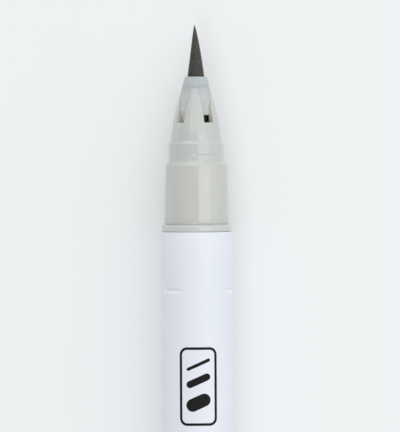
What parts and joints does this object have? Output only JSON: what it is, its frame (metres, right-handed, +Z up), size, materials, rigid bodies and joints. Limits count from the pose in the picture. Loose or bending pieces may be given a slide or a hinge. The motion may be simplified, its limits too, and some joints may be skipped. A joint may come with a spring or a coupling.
{
  "type": "calligraphy marker",
  "caption": "Brush calligraphy marker with a bristle tip, windowed grip section, felt ink reservoir, and a pull-off cap posted on its tail.",
  "frame": {"origin": "middle of the object's footprint on the table: on the pen's axis in x, at half its posted length in y, at the table's height in z", "axes": "+Y along the pen's axis towards the brush point, +Z up from the table"},
  "size_m": [0.0138, 0.1634, 0.012],
  "materials": {
    "bristle": "fine nylon filaments, ink-stained",
    "frosted_ferrule": "translucent bluish grey moulding",
    "grip_grey": "satin-gloss moulding",
    "barrel_white": "glossy bluish white moulding",
    "natural_plastic": "uncoloured moulding",
    "ink_fibre": "bonded fibre rod, ink-soaked",
    "wadding": "fibre wadding, ink-soaked",
    "film": "thin clear film",
    "cap_charcoal": "glossy moulding in the ink's colour"
  },
  "bodies": {
    "pen": {"bristle_root": "bristle", "ferrule": "frosted_ferrule", "grip_section": "grip_grey", "feed_wick": "ink_fibre", "wick_holder": "natural_plastic", "reservoir_wadding": "wadding", "reservoir_film": "film", "barrel": "barrel_white", "tail_plug": "cap_charcoal"},
    "brush": {"bristle_tip": "bristle"},
    "cap": {"cap_shell": "cap_charcoal", "inner_cap": "natural_plastic"}
  },
  "joints": [
    {"name": "cap_slide", "type": "slide", "parent": "pen", "child": "cap", "axis": [0, -1, 0], "range_m": [0, 0.025]},
    {"name": "brush_flex", "type": "hinge", "parent": "pen", "child": "brush", "pos_m": [0, 0.07365, 0.006], "axis": [0, 0, 1], "range_deg": [-25, 25], "stiffness_Nm_per_rad": 0.001}
  ]
}
